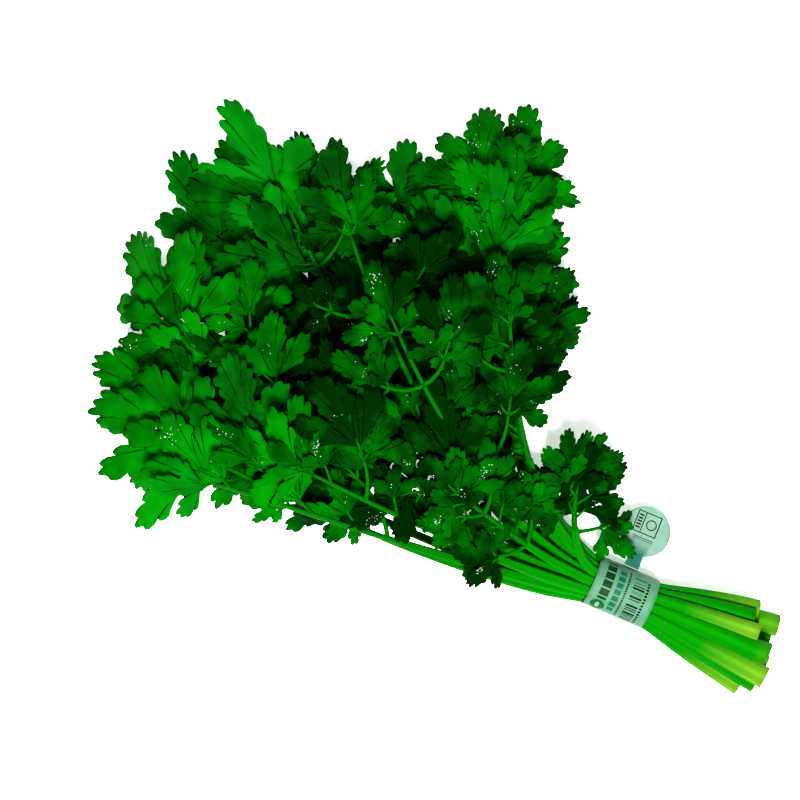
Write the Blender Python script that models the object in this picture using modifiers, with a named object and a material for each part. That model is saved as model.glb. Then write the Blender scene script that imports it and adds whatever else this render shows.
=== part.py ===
"""Bunch of flat-leaf parsley lying on a table, tied by a strap label.

Metres, +Z up.  +X runs along the tied stems, from their cut ends towards the
leaves, and the bunch lies on z = 0 with the middle of its box over the origin.
Nineteen stems are pressed together in five rows inside the strap.  Beyond it
they fan out and bend towards -Y, and each carries one divided leaf: a stalk
with leaflet sprays in two pairs and one more at its tip.
"""

import math
import random

import bmesh
import bpy
from mathutils import Vector

# ---- the tie: where the stems are pressed together ----
STEM_PITCH = 0.00415  # between the centres of neighbouring stems
TIED_RADIUS = 0.00193
CUT_RADIUS = 0.0026  # a leaf stalk is thickest at its foot
BLADE_STEM_RADIUS = 0.0012  # where the first sprays branch off
ROW_RISE = STEM_PITCH * math.sin(math.radians(60))
STRAP_THICKNESS = 0.0004
STRAP_RADIUS = 0.0109  # middle of the film where the strap lies on the stems
STRAP_LAP = 0.0010  # the outer lap stands this much further out
STRAP_HALF_WIDTH = 0.0141
TIE_HEIGHT = STRAP_RADIUS + STRAP_THICKNESS / 2  # middle of the tie above the table

# ---- the rest of the strap label ----
SLOT_ROW = 2  # the step along the strap, from its slot end, that is open
SLOT_SHARE = 0.3  # of the strap's width
NECK_HALF_WIDTH = 0.0034
NECK_BEND_RADIUS = 0.0018
HEAD_RADIUS = 0.01125
HEAD_MIDDLE_Y = -0.0292
HEAD_SAG = math.radians(6)  # the head slopes gently to the table

# ---- the cut ends ----
CUT_LENGTH = 0.0645  # from the middle of the strap to the cut
CUT_UNEVENNESS = 0.0070
CUT_SPREAD = 2.05  # how much wider than the tie the cut ends stand
CUT_LOWEST = 0.0029
CUT_ROW_RISE = 0.0056

# ---- the crown of leaves ----
CROWN_TOP = 0.082  # height of the leaves at their thickest
CROWN_EDGE = 0.044  # and at the far tips
CROWN_FULL_AT = 0.150  # distance from the strap where the crown is at its thickest
CROWN_FALLS_FROM = 0.165
CROWN_ENDS_AT = 0.310
LEVEL_REACHED_AT = 0.095  # a stem has come to its own height this far from the strap

# Each leaf: where its tip lies in plan from the middle of the strap, the
# heading of the tip in degrees from +X, how far its sprays spread to its -Y
# and +Y side, and how far it is lifted.  Rows run upwards from the table.
LEAF_ROWS = (
    ((0.126, -0.184, -72, 0.3, 0.8, 0.0), (0.176, -0.150, -60, 0.9, 1.0, 0.0),
     (0.258, -0.098, -34, 1.0, 0.4, 0.0)),
    ((0.114, -0.152, -76, 0.2, 1.0, 0.0), (0.142, -0.180, -70, 0.5, 0.9, 0.0),
     (0.240, -0.134, -42, 0.9, 1.0, 0.0), (0.256, -0.004, -8, 1.0, 0.15, 0.0)),
    ((0.102, -0.092, -58, 0.0, 0.9, 0.0), (0.121, -0.172, -76, 0.25, 1.0, 0.0),
     (0.200, -0.134, -54, 1.0, 1.0, 0.0), (0.264, -0.050, -22, 1.0, 0.7, 0.0),
     (0.243, 0.014, 2, 0.8, 0.0, 0.0)),
    ((0.106, -0.118, -70, 0.0, 1.0, 0.0), (0.160, -0.092, -50, 1.0, 1.0, 0.0),
     (0.213, -0.044, -30, 1.0, 0.4, 0.0), (0.226, 0.030, 14, 0.6, 0.0, 0.0)),
    ((0.046, -0.058, -66, 2.0, 0.4, 0.04), (0.106, -0.020, -16, 1.0, 0.7, 0.12),
     (0.180, 0.000, -2, 1.0, 0.0, 0.0)),
)
# Neighbours in a row lie at heights well apart: the order of their levels.
LEVEL_ORDER = {3: (1, 2, 0), 4: (1, 3, 0, 2), 5: (2, 0, 3, 1, 4)}
LEAF_COUNT = sum(len(row) for row in LEAF_ROWS)
STEM_STIFFNESS = 0.9  # how long a stem keeps its first heading, as a share of its reach
TIE_FLARE = 28.0  # radians a stem heads outwards for each metre off the middle

# ---- one leaf ----
BLADE_SHARE = 0.58  # of the reach that carries leaflets
LONGEST_BLADE = 0.140
PLATE_THICKNESS = 0.0007
RACHIS_WIDTH = 0.0022
RACHIS_TIP_WIDTH = 0.0014
STALK_WIDTH = 0.0014
RIB_THICKNESS = 0.0012  # of the rachis and the stalks
TIP_SPRAY = 0.054  # base to tip of the spray at the leaf's end
PIECE_GAP = 0.0003  # left between pieces that meet
PAIR_PLACES = (0.04, 0.40)  # along the blade
PAIR_STALKS = (0.24, 0.14)  # stalk length as a share of the blade
PAIR_SIZES = (0.90, 0.80)  # size as a share of the tip spray
RACHIS_SHARE = 0.66  # of the blade, before the tip spray begins
NEAR_LEAF_SIZE = 0.84  # the sprays of a lifted leaf, beside the strap, are smaller
NEAR_LEAF_STEP = 2.2  # and clear one another by more of a level
LIFT_STEPS = (-0.33, 0.33, -0.33)  # of a level, so that sprays of one leaf clear
# Outline of one half of a spray: angle from its axis in degrees and reach as
# a share of its size, through the middle leaflet and one side leaflet.
SPRAY_OUTLINE = ((0, 1.0), (10, 0.92), (22, 0.56), (37, 0.80), (51, 0.75), (68, 0.38))


def smooth(t):
    """0 below 0, 1 above 1, and an even ease between."""
    t = min(max(t, 0.0), 1.0)
    return t * t * (3 - 2 * t)


def heading_vector(angle):
    return Vector((math.cos(angle), math.sin(angle)))


def crown_height(place):
    """Height of the top of the bunch above the table over a place in plan."""
    away = place.length
    tied = 2 * TIE_HEIGHT
    rise = smooth((away - STRAP_HALF_WIDTH) / (CROWN_FULL_AT - STRAP_HALF_WIDTH))
    fall = smooth((away - CROWN_FALLS_FROM) / (CROWN_ENDS_AT - CROWN_FALLS_FROM))
    return tied + (CROWN_TOP - tied) * rise - (CROWN_TOP - CROWN_EDGE) * fall


class Leaf:
    """Where one stem and its leaf run, from the cut end to the tip."""

    def __init__(self, number, row, column, shape):
        tip_x, tip_y, heading_tip, self.spread_right, self.spread_left, self.lift = shape
        in_row = len(LEAF_ROWS[row])
        below = sum(len(LEAF_ROWS[r]) for r in range(row))
        self.name = f"{number:02d}"
        self.random = random.Random(100 + number)
        self.tied_y = (column - (in_row - 1) / 2) * STEM_PITCH
        self.tied_z = TIE_HEIGHT + (row - (len(LEAF_ROWS) - 1) / 2) * ROW_RISE
        self.cut_z = CUT_LOWEST + row * CUT_ROW_RISE
        self.cut_length = CUT_LENGTH + self.random.uniform(-1, 1) * CUT_UNEVENNESS
        self.level_share = (below + LEVEL_ORDER[in_row][column] + 0.7) / LEAF_COUNT
        self.start = Vector((STRAP_HALF_WIDTH, self.tied_y))
        self.tip = Vector((tip_x, tip_y))
        pull = (self.tip - self.start).length * STEM_STIFFNESS
        self.pull_out = heading_vector(self.tied_y * TIE_FLARE) * pull
        self.pull_tip = heading_vector(math.radians(heading_tip)) * pull
        self.lengths = self.measure()
        self.reach = STRAP_HALF_WIDTH + self.lengths[-1]
        self.blade = min(BLADE_SHARE * self.reach, LONGEST_BLADE)
        self.blade_start = self.reach - self.blade

    def curve_place(self, t):
        """A place in plan on the curve from the strap to the leaf's tip."""
        a = 2 * t**3 - 3 * t**2 + 1
        b = t**3 - 2 * t**2 + t
        c = 3 * t**2 - 2 * t**3
        d = t**3 - t**2
        return self.start * a + self.pull_out * b + self.tip * c + self.pull_tip * d

    def measure(self, count=160):
        lengths = [0.0]
        for i in range(count):
            ahead = self.curve_place((i + 1) / count) - self.curve_place(i / count)
            lengths.append(lengths[-1] + ahead.length)
        return lengths

    def place(self, along):
        """The place in plan this far along from the middle of the strap."""
        past = along - STRAP_HALF_WIDTH
        if past <= 0:
            return Vector((along, self.tied_y))
        i = 0
        while i < len(self.lengths) - 2 and self.lengths[i + 1] < past:
            i += 1
        t = i + (past - self.lengths[i]) / (self.lengths[i + 1] - self.lengths[i])
        return self.curve_place(t / (len(self.lengths) - 1))

    def heading(self, along):
        ahead = self.place(along + 0.001) - self.place(along - 0.001)
        return math.atan2(ahead.y, ahead.x)

    def raised(self, place, extra=0.0):
        """Lifts a place in plan to the height of this leaf there."""
        tied = self.tied_z / (2 * TIE_HEIGHT)
        away = place.length
        settled = smooth((away - STRAP_HALF_WIDTH) / (LEVEL_REACHED_AT - STRAP_HALF_WIDTH))
        lift = self.lift * smooth((away - STRAP_HALF_WIDTH) / 0.03)
        extra *= NEAR_LEAF_STEP if self.lift else settled
        share = tied + (self.level_share - tied) * settled + lift + extra / LEAF_COUNT
        return Vector((place.x, place.y, share * crown_height(place)))

    def point(self, along):
        """Middle of the stem: negative along is towards the cut end."""
        if along >= 0:
            return self.raised(self.place(along))
        past = max(-along - STRAP_HALF_WIDTH, 0.0) / (CUT_LENGTH - STRAP_HALF_WIDTH)
        y = self.tied_y * (1 + (CUT_SPREAD - 1) * past)
        z = self.tied_z + (self.cut_z - self.tied_z) * min(past, 1.15)
        return Vector((along, y, z))

    def radius(self, along):
        if along < 0:
            past = max(-along - STRAP_HALF_WIDTH, 0.0) / (CUT_LENGTH - STRAP_HALF_WIDTH)
            return TIED_RADIUS + (CUT_RADIUS - TIED_RADIUS) * min(past, 1.1)
        thinned = smooth((along - STRAP_HALF_WIDTH) / (self.blade_start - STRAP_HALF_WIDTH))
        return TIED_RADIUS + (BLADE_STEM_RADIUS - TIED_RADIUS) * thinned

    def sprays(self):
        """The side sprays: where each stalk leaves, how it runs, and its size."""
        draw = self.random.uniform
        scale = 0.42 + 0.58 * self.blade / LONGEST_BLADE
        if self.lift:
            scale *= NEAR_LEAF_SIZE
        found = []
        for pair in range(len(PAIR_PLACES)):
            along = self.blade_start + self.blade * (PAIR_PLACES[pair] + draw(0.0, 0.06))
            for side, spread in ((-1, self.spread_right), (1, self.spread_left)):
                if spread == 0 or (pair > 0 and not 0.25 < spread <= 1):
                    continue
                fullness = 0.6 + 0.4 * min(spread, 1.0)
                spray = {"along": along, "side": side, "extra": LIFT_STEPS[pair]}
                bent = max(spread, 0.35 + 0.65 * spread)
                spray["leaves_at"] = side * math.radians(draw(54, 68)) * min(spread + 0.45, 1.6)
                spray["points_at"] = side * math.radians(draw(38, 58)) * bent
                spray["stalk"] = self.blade * PAIR_STALKS[pair] * fullness * draw(0.9, 1.2)
                spray["size"] = TIP_SPRAY * scale * PAIR_SIZES[pair] * fullness * draw(0.9, 1.1)
                found.append(spray)
        return found


def all_leaves():
    leaves = []
    for row, columns in enumerate(LEAF_ROWS):
        for column, shape in enumerate(columns):
            leaves.append(Leaf(len(leaves) + 1, row, column, shape))
    return leaves


# ---- materials ----


def plain_material(name, colour, roughness):
    made = bpy.data.materials.new(name)
    made.use_nodes = True
    shader = made.node_tree.nodes["Principled BSDF"]
    shader.inputs["Base Color"].default_value = (*colour, 1.0)
    shader.inputs["Roughness"].default_value = roughness
    shader.inputs["Metallic"].default_value = 0.0
    return made


def stem_material():
    return plain_material("stem", (0.03, 0.34, 0.01), 0.42)


def leaf_material():
    return plain_material("leaf", (0.005, 0.13, 0.005), 0.45)


def label_material():
    return plain_material("label", (0.30, 0.56, 0.42), 0.35)


def add_object(name, data, skin, collection):
    made = bpy.data.objects.new(name, data)
    made.data.materials.append(skin)
    collection.objects.link(made)
    return made


# ---- stems ----


def stem_stations(leaf):
    """Places along a stem where its tube has a ring, closer where it bends."""
    end = leaf.blade_start - PIECE_GAP
    stations = [-leaf.cut_length, -0.038, -STRAP_HALF_WIDTH - 0.002]
    count = max(round((end - STRAP_HALF_WIDTH) / 0.012), 2)
    span = end - STRAP_HALF_WIDTH - 0.001
    stations += [STRAP_HALF_WIDTH + 0.001 + span * i / count for i in range(count + 1)]
    return stations


def make_stem(leaf, skin, collection):
    """A tapering tube from the cut end to the foot of the leaf blade."""
    curve = bpy.data.curves.new(f"stem_{leaf.name}", "CURVE")
    curve.dimensions = "3D"
    curve.bevel_depth = 1.0
    curve.bevel_resolution = 1
    curve.use_fill_caps = True
    curve.twist_mode = "Z_UP"
    spline = curve.splines.new("POLY")
    stations = stem_stations(leaf)
    spline.points.add(len(stations) - 1)
    for point, along in zip(spline.points, stations):
        point.co = (*leaf.point(along), 1.0)
        point.radius = leaf.radius(along)
    return add_object(f"stem_{leaf.name}", curve, skin, collection)


# ---- leaves ----


def grid_sheet(bm, columns, rows, place, rib_rows):
    """An open sheet of columns by rows, each corner sent to place(column, row)."""
    deform = bm.verts.layers.deform.verify()
    made = bmesh.ops.create_grid(bm, x_segments=columns, y_segments=rows, size=0.5)
    for vert in made["verts"]:
        column = round((vert.co.x + 0.5) * columns)
        row = round((vert.co.y + 0.5) * rows)
        vert.co = place(column, row)
        if row < rib_rows:
            vert[deform][0] = 1.0


def rachis_edge(leaf, along, side):
    """A corner on the left or right edge of the rachis, in space."""
    t = (along - leaf.blade_start) / (leaf.blade * RACHIS_SHARE)
    half = (RACHIS_WIDTH + (RACHIS_TIP_WIDTH - RACHIS_WIDTH) * t) / 2
    extra = LIFT_STEPS[-1] * smooth(t * 2 - 1)
    across = heading_vector(leaf.heading(along) + math.radians(90)) * half * side
    return leaf.raised(leaf.place(along) + across, extra)


def rachis_stations(leaf, sprays):
    """Places along the rachis, with two close together where a pair leaves."""
    stations = [leaf.blade_start]
    for along in sorted({spray["along"] for spray in sprays}):
        stations += [along - STALK_WIDTH / 2, along + STALK_WIDTH / 2]
    stations.append(leaf.blade_start + leaf.blade * RACHIS_SHARE)
    filled = []
    for near, far in zip(stations, stations[1:]):
        count = max(round((far - near) / 0.014), 1)
        filled += [near + (far - near) * i / count for i in range(count)]
    return filled + stations[-1:]


def add_rachis(bm, leaf, stations):
    def place(column, row):
        return rachis_edge(leaf, stations[row], -1 if column == 0 else 1)

    grid_sheet(bm, 1, len(stations) - 1, place, len(stations))


def add_stalk(bm, leaf, spray):
    """A side stalk, bending from the rachis towards where its spray points.

    Gives the place in plan where it ends.
    """
    root = leaf.heading(spray["along"])
    steps = 3
    places = [leaf.place(spray["along"])]
    headings = [root + spray["leaves_at"]]
    for step in range(steps):
        t = (step + 1) / steps
        headings.append(root + spray["leaves_at"] + (spray["points_at"] - spray["leaves_at"]) * t)
        places.append(places[-1] + heading_vector(headings[-1]) * spray["stalk"] / steps)

    def place(column, row):
        side = -1 if column == 0 else 1
        if row == 0:
            along = spray["along"] - side * spray["side"] * STALK_WIDTH / 2
            return rachis_edge(leaf, along, spray["side"])
        across = heading_vector(headings[row] + math.radians(90)) * STALK_WIDTH / 2 * side
        return leaf.raised(places[row] + across, spray["extra"] * smooth(row / steps))

    grid_sheet(bm, 1, steps, place, steps + 1)
    return places[-1]


def add_spray(bm, leaf, foot, corners, heading, size, extra):
    """The leaflets of one spray, fanned out flat from the end of a stalk.

    The near row of its sheet is drawn together on the two corners of the stalk.
    """
    half = [(math.radians(angle), share) for angle, share in SPRAY_OUTLINE]
    outline = [(-angle, share) for angle, share in half[:0:-1]] + half
    reaches = (0.0, 0.5, 1.0)

    def place(column, row):
        if row == 0:
            return corners[0] if 2 * column < len(outline) else corners[1]
        angle, share = outline[column]
        out = heading_vector(heading + angle) * size * share * reaches[row]
        return leaf.raised(foot + out, extra)

    grid_sheet(bm, len(outline) - 1, len(reaches) - 1, place, 1)


def add_side_spray(bm, leaf, spray):
    foot = add_stalk(bm, leaf, spray)
    heading = leaf.heading(spray["along"]) + spray["points_at"]
    across = heading_vector(heading + math.radians(90)) * STALK_WIDTH / 2
    corners = [leaf.raised(foot + across * side, spray["extra"]) for side in (-1, 1)]
    add_spray(bm, leaf, foot, corners, heading, spray["size"], spray["extra"])


def add_tip_spray(bm, leaf, along):
    corners = [rachis_edge(leaf, along, side) for side in (-1, 1)]
    size = leaf.blade * (1 - RACHIS_SHARE)
    add_spray(bm, leaf, leaf.place(along), corners, leaf.heading(along), size, LIFT_STEPS[-1])


def make_leaf(leaf, skin, collection):
    """The rachis with its sprays: one thin sheet, thicker along the ribs."""
    bm = bmesh.new()
    sprays = leaf.sprays()
    stations = rachis_stations(leaf, sprays)
    add_rachis(bm, leaf, stations)
    for spray in sprays:
        add_side_spray(bm, leaf, spray)
    add_tip_spray(bm, leaf, stations[-1])
    bmesh.ops.remove_doubles(bm, verts=bm.verts, dist=0.000001)
    bmesh.ops.recalc_face_normals(bm, faces=bm.faces)
    mesh = bpy.data.meshes.new(f"leaf_{leaf.name}")
    bm.to_mesh(mesh)
    bm.free()
    made = add_object(f"leaf_{leaf.name}", mesh, skin, collection)
    made.vertex_groups.new(name="rib")
    body = made.modifiers.new("body", "SOLIDIFY")
    body.thickness = RIB_THICKNESS
    body.offset = 0.0
    body.vertex_group = "rib"
    body.thickness_vertex_group = PLATE_THICKNESS / RIB_THICKNESS
    return made


# ---- the strap label ----


def strap_profile():
    """Side view of the strap from its slot end: distance turned, y and z."""
    points = []
    turn_from, turn_to = math.radians(206), math.radians(-178)
    count = 32
    for i in range(count + 1):
        turn = turn_from + (turn_to - turn_from) * i / count
        inward = smooth((turn_from - turn) / math.radians(150))
        radius = STRAP_RADIUS + STRAP_LAP * (1 - inward)
        points.append((turn, radius * math.cos(turn), TIE_HEIGHT + radius * math.sin(turn)))
    turn, y, z = points[-1]
    heading = math.radians(90)
    bend = math.radians(90) + HEAD_SAG
    for _ in range(6):
        heading += bend / 6
        y += NECK_BEND_RADIUS * bend / 6 * math.cos(heading)
        z += NECK_BEND_RADIUS * bend / 6 * math.sin(heading)
        points.append((turn, y, z))
    far_edge = HEAD_MIDDLE_Y - HEAD_RADIUS
    straight = 11
    start_y, start_z = y, z
    for i in range(straight):
        y = start_y + (far_edge - start_y) * math.sin(math.radians(90) * (i + 1) / straight)
        z = start_z + (y - start_y) * math.tan(HEAD_SAG)
        points.append((turn, y, z))
    return points


def strap_half_width(turn, y):
    """Half the width of the strap: tapered ends, a narrow neck, a round head."""
    if y < HEAD_MIDDLE_Y + HEAD_RADIUS:
        across = math.sqrt(max(HEAD_RADIUS**2 - (y - HEAD_MIDDLE_Y) ** 2, 0.0))
        near = y > HEAD_MIDDLE_Y
        return max(across, NECK_HALF_WIDTH if near else 0.0018)
    slot_end = 0.62 + 0.38 * smooth((math.radians(206) - turn) / math.radians(45))
    necking = smooth((math.radians(-118) - turn) / math.radians(52))
    return STRAP_HALF_WIDTH * slot_end * (1 - necking) + NECK_HALF_WIDTH * necking


def make_label(skin, collection):
    """One film strap: round the stems, out through its own slot, to its head."""
    profile = strap_profile()
    columns = (-1.0, -0.66, -SLOT_SHARE, SLOT_SHARE, 0.66, 1.0)

    def place(column, row):
        turn, y, z = profile[row]
        half = strap_half_width(turn, y)
        share = columns[column]
        if abs(share) == SLOT_SHARE:
            share = math.copysign(min(SLOT_SHARE * STRAP_HALF_WIDTH / half, 0.5), share)
        return Vector((share * half, y, z))

    bm = bmesh.new()
    grid_sheet(bm, len(columns) - 1, len(profile) - 1, place, 0)
    left = len(columns) // 2 - 1
    corners = [place(left + i, SLOT_ROW + j) for i in (0, 1) for j in (0, 1)]
    slot = sum(corners, Vector()) / 4
    nearest = min(bm.faces, key=lambda face: (face.calc_center_median() - slot).length)
    bmesh.ops.delete(bm, geom=[nearest], context="FACES_ONLY")
    bmesh.ops.recalc_face_normals(bm, faces=bm.faces)
    mesh = bpy.data.meshes.new("tie_label")
    bm.to_mesh(mesh)
    bm.free()
    made = add_object("tie_label", mesh, skin, collection)
    body = made.modifiers.new("film", "SOLIDIFY")
    body.thickness = STRAP_THICKNESS
    body.offset = 0.0
    return made


# ---- the bunch ----


def box_of(objects):
    """The lowest and highest corner of everything, as it is built."""
    depsgraph = bpy.context.evaluated_depsgraph_get()
    corners = []
    for made in objects:
        mesh = made.evaluated_get(depsgraph).to_mesh()
        corners += [vert.co.copy() for vert in mesh.vertices]
    low = Vector([min(corner[axis] for corner in corners) for axis in range(3)])
    high = Vector([max(corner[axis] for corner in corners) for axis in range(3)])
    return low, high


def stand_over_origin(objects, collection):
    """Hangs everything on one empty, so that the box stands on z = 0 over the origin."""
    bpy.context.view_layer.update()
    low, high = box_of(objects)
    middle = bpy.data.objects.new("tie_middle", None)
    middle.location = (-(low.x + high.x) / 2, -(low.y + high.y) / 2, -low.z)
    collection.objects.link(middle)
    for made in objects:
        made.parent = middle


def clear_scene():
    for old in list(bpy.data.objects):
        bpy.data.objects.remove(old, do_unlink=True)


def build_bunch():
    clear_scene()
    collection = bpy.data.collections.new("parsley_bunch")
    bpy.context.scene.collection.children.link(collection)
    stem, leaf, label = stem_material(), leaf_material(), label_material()
    objects = [make_label(label, collection)]
    for one in all_leaves():
        objects.append(make_stem(one, stem, collection))
        objects.append(make_leaf(one, leaf, collection))
    stand_over_origin(objects, collection)


build_bunch()
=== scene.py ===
"""A bunch of flat-leaf parsley lying on a pale table, tied by a strap label.

Metres, +Z up.  +X runs along the tied stems towards the leaves.
"""

import random
from math import atan2, copysign, cos, exp, hypot, pi, radians, sin, sqrt, tan

import bmesh
import bpy
from mathutils import Matrix, Vector
from mathutils.bvhtree import BVHTree


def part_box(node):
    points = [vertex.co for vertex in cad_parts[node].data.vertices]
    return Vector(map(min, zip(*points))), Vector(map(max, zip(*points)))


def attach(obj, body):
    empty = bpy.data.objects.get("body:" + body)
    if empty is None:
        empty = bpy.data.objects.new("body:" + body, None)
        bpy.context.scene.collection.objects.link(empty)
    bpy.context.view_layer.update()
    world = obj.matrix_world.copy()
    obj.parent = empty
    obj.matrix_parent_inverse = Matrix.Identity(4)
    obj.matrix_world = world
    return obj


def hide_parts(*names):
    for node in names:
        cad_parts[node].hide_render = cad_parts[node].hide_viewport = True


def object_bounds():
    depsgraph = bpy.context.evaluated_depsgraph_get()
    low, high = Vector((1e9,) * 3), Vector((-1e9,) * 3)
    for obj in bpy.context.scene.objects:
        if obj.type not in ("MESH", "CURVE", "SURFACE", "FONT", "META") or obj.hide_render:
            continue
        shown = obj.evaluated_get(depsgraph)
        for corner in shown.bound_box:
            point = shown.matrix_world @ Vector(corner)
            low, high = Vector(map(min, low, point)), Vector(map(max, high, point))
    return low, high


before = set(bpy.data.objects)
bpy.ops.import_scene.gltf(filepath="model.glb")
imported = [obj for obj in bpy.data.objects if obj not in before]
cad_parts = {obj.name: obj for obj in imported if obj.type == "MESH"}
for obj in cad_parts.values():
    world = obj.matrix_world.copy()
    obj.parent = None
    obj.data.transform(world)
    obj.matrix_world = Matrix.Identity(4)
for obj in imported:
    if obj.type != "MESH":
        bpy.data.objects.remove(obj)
cad_low, cad_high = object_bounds()

# ------------------------------------------------------------------ stems
# Nineteen leaf stalks, cut square and pressed together in five rows inside the
# strap.  Each is ribbed and moist with a soft pith, thick and pale at the cut
# and thinner and greener on its way up to the leaf.

# pressed together inside the strap
STEM_PITCH = 0.00415
TIED_RADIUS = 0.00193
ROW_RISE = STEM_PITCH * sin(radians(60))
STRAP_THICKNESS = 0.0004  # of its solid: the film is thinner
STRAP_RADIUS = 0.0109
STRAP_LAP = 0.0010
STRAP_HALF_WIDTH = 0.0141
TIE_HEIGHT = STRAP_RADIUS + STRAP_THICKNESS / 2
HEAD_RADIUS = 0.01125
HEAD_MIDDLE_Y = -0.0292

# spread out and thicker at the cut
CUT_RADIUS = 0.0026
CUT_LENGTH = 0.0645
CUT_UNEVENNESS = 0.0070
CUT_SPREAD = 2.05
CUT_LOWEST = 0.0029
CUT_ROW_RISE = 0.0056

# how high the crown of leaves is, and how far from the strap
CROWN_TOP = 0.082
CROWN_EDGE = 0.044
CROWN_FULL_AT = 0.150
CROWN_FALLS_FROM = 0.165
CROWN_ENDS_AT = 0.310
LEVEL_REACHED_AT = 0.095
LIFT_REACHED_AT = 0.030

# Each leaf: its tip in plan from the middle of the strap, the heading of the
# tip in degrees from +X, how far its sprays spread to its -Y and its +Y side,
# and how far it is lifted.  Rows run upwards from the table.
LEAF_ROWS = (
    ((0.126, -0.184, -72, 0.3, 0.8, 0.0), (0.176, -0.150, -60, 0.9, 1.0, 0.0),
     (0.258, -0.098, -34, 1.0, 0.4, 0.0)),
    ((0.114, -0.152, -76, 0.2, 1.0, 0.0), (0.142, -0.180, -70, 0.5, 0.9, 0.0),
     (0.240, -0.134, -42, 0.9, 1.0, 0.0), (0.256, -0.004, -8, 1.0, 0.15, 0.0)),
    ((0.102, -0.092, -58, 0.0, 0.9, 0.0), (0.121, -0.172, -76, 0.25, 1.0, 0.0),
     (0.200, -0.134, -54, 1.0, 1.0, 0.0), (0.264, -0.050, -22, 1.0, 0.7, 0.0),
     (0.243, 0.014, 2, 0.8, 0.0, 0.0)),
    ((0.106, -0.118, -70, 0.0, 1.0, 0.0), (0.160, -0.092, -50, 1.0, 1.0, 0.0),
     (0.213, -0.044, -30, 1.0, 0.4, 0.0), (0.226, 0.030, 14, 0.6, 0.0, 0.0)),
    ((0.046, -0.058, -66, 2.0, 0.4, 0.04), (0.106, -0.020, -16, 1.0, 0.7, 0.12),
     (0.180, 0.000, -2, 1.0, 0.0, 0.0)),
)
# how many leaves of its own row lie below each leaf of a row
LEVEL_ORDER = {3: (1, 2, 0), 4: (1, 3, 0, 2), 5: (2, 0, 3, 1, 4)}
LEAF_COUNT = sum(len(row) for row in LEAF_ROWS)
STEM_STIFFNESS = 0.9
TIE_FLARE = 28.0  # radians outward for each metre from the middle of the strap
BLADE_STEM_RADIUS = 0.0012
BLADE_SHARE = 0.58  # of the way from the strap to the tip
LONGEST_BLADE = 0.140
TIP_SPRAY = 0.054
# side sprays come in two pairs: shares of the blade, and of the tip spray
PAIR_PLACES = (0.04, 0.40)
PAIR_STALKS = (0.24, 0.14)
PAIR_SIZES = (0.90, 0.80)
RACHIS_SHARE = 0.66
LIFT_STEPS = (-0.33, 0.33, -0.33)  # each pair and the tip, in layers of leaves
NEAR_LEAF_SIZE = 0.84  # the two leaves lifted next to the strap
NEAR_LEAF_STEP = 2.2

label_low, label_high = (Vector(corner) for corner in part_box("tie_label"))
# the middle of the strap, on the table: the layout is measured from there
TIE = Vector((
    (label_low.x + label_high.x) / 2,
    label_low.y - (HEAD_MIDDLE_Y - HEAD_RADIUS),
    label_low.z,
))


def smooth(t):
    """Eases from 0 to 1 while t goes from 0 to 1."""
    t = min(max(t, 0.0), 1.0)
    return t * t * (3 - 2 * t)


def heading_vector(angle):
    return Vector((cos(angle), sin(angle)))


def crown_height(place):
    """How high the bunch is over a place in plan."""
    away = place.length
    tied = 2 * TIE_HEIGHT
    rise = smooth((away - STRAP_HALF_WIDTH) / (CROWN_FULL_AT - STRAP_HALF_WIDTH))
    fall = smooth((away - CROWN_FALLS_FROM) / (CROWN_ENDS_AT - CROWN_FALLS_FROM))
    return tied + (CROWN_TOP - tied) * rise - (CROWN_TOP - CROWN_EDGE) * fall


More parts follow.
